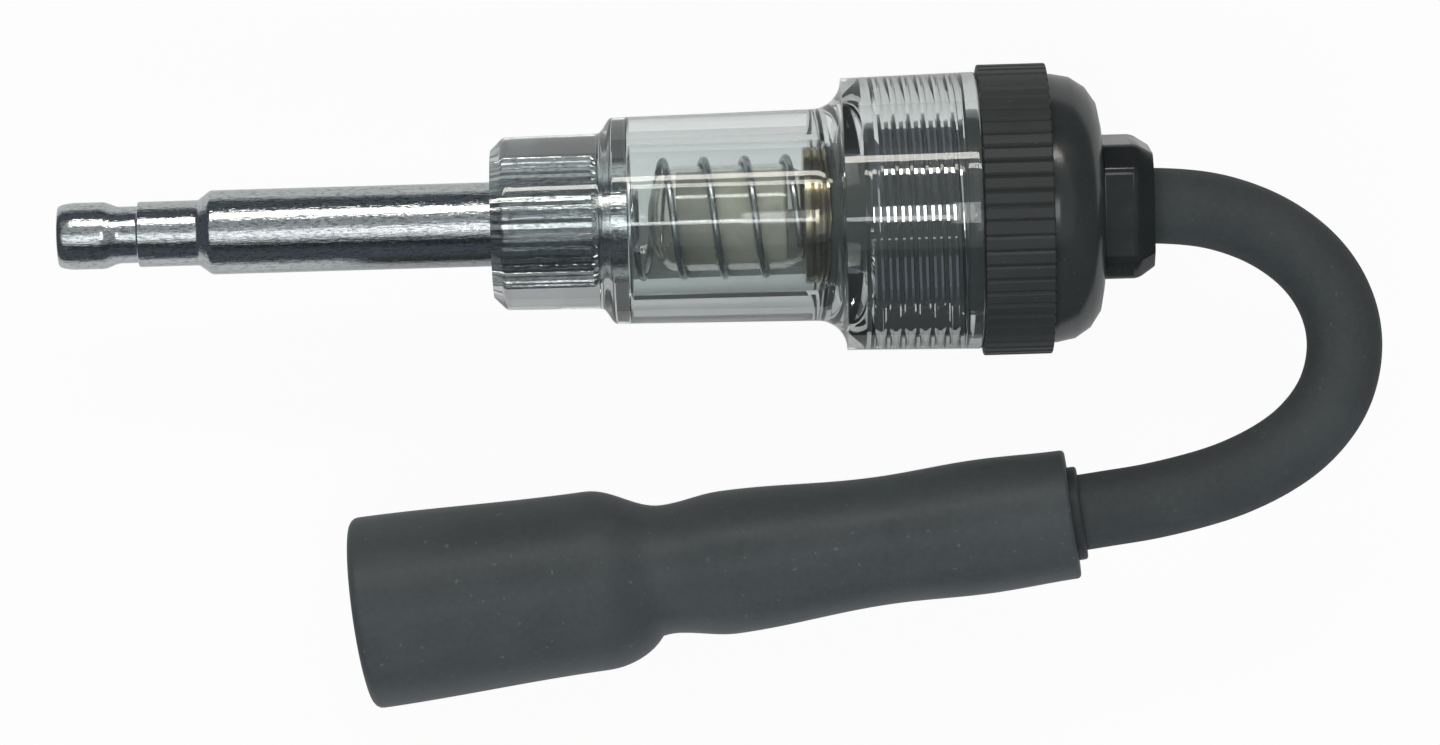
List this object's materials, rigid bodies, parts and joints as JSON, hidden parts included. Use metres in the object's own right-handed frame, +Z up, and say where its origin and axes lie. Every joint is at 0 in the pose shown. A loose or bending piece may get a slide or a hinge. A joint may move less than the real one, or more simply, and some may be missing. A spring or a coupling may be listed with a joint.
{
  "type": "spark plug tester",
  "caption": "In-line ignition spark tester: clear lamp housing on a steel terminal rod, black screw cap, and a short lead that loops back to a rubber plug boot.",
  "frame": {"origin": "under the middle of the straight body, on the surface that it lies on", "axes": "+X along the tester from the rod's tip to the lead's exit, +Z up, the boot on the -Y side"},
  "size_m": [0.1255, 0.0596, 0.0276],
  "materials": {
    "steel": "bright plated steel",
    "clear_plastic": "clear moulded plastic, polished",
    "plated_brass": "bright",
    "spring_steel": "drawn wire",
    "lamp_glass": "clear glass",
    "lamp_stem": "pressed glass",
    "lamp_nickel": "dull nickel",
    "lamp_base": "nickel-plated brass",
    "lamp_insulator": "black glass",
    "solder": "solder",
    "cap_plastic": "satin charcoal moulding",
    "brass": "turned brass",
    "copper_core": "stranded copper",
    "collar_plastic": "gloss black moulding",
    "lead_rubber": "satin rubber",
    "sleeve_rubber": "matt rubber",
    "boot_rubber": "satin rubber"
  },
  "bodies": {
    "housing": {"clear_housing": "clear_plastic", "terminal_rod": "steel", "contact_washer": "plated_brass", "lamp_spring": "spring_steel"},
    "cap": {"screw_cap": "cap_plastic"},
    "lead": {"lead_terminal": "brass", "lead_core": "copper_core", "lead_collar": "collar_plastic", "lead_jacket": "lead_rubber", "boot_sleeve": "sleeve_rubber", "plug_boot": "boot_rubber", "boot_terminal": "brass", "terminal_ring": "steel"},
    "lamp": {"lamp_glass": "lamp_glass", "lamp_stem": "lamp_stem", "lamp_cathode": "lamp_nickel", "lamp_anode": "lamp_nickel", "lamp_shell": "lamp_base", "lamp_insulator": "lamp_insulator", "lamp_contact": "solder"}
  },
  "joints": [
    {"name": "lead_slide", "type": "slide", "parent": "housing", "child": "lead", "axis": [1, 0, 0], "range_m": [0, 0.0077]},
    {"name": "cap_turn", "type": "hinge", "parent": "lead", "child": "cap", "pos_m": [0, 0, 0.0138], "axis": [1, 0, 0], "range_deg": [0, 1980]},
    {"name": "lamp_slide", "type": "slide", "parent": "housing", "child": "lamp", "axis": [1, 0, 0], "range_m": [0, 0.0077], "deforming": ["lamp_spring"]}
  ],
  "couplings": [
    {"joint": "cap_turn", "follows": "lead_slide", "rad_per_m": 4488},
    {"joint": "lamp_slide", "follows": "lead_slide", "ratio": 1}
  ]
}
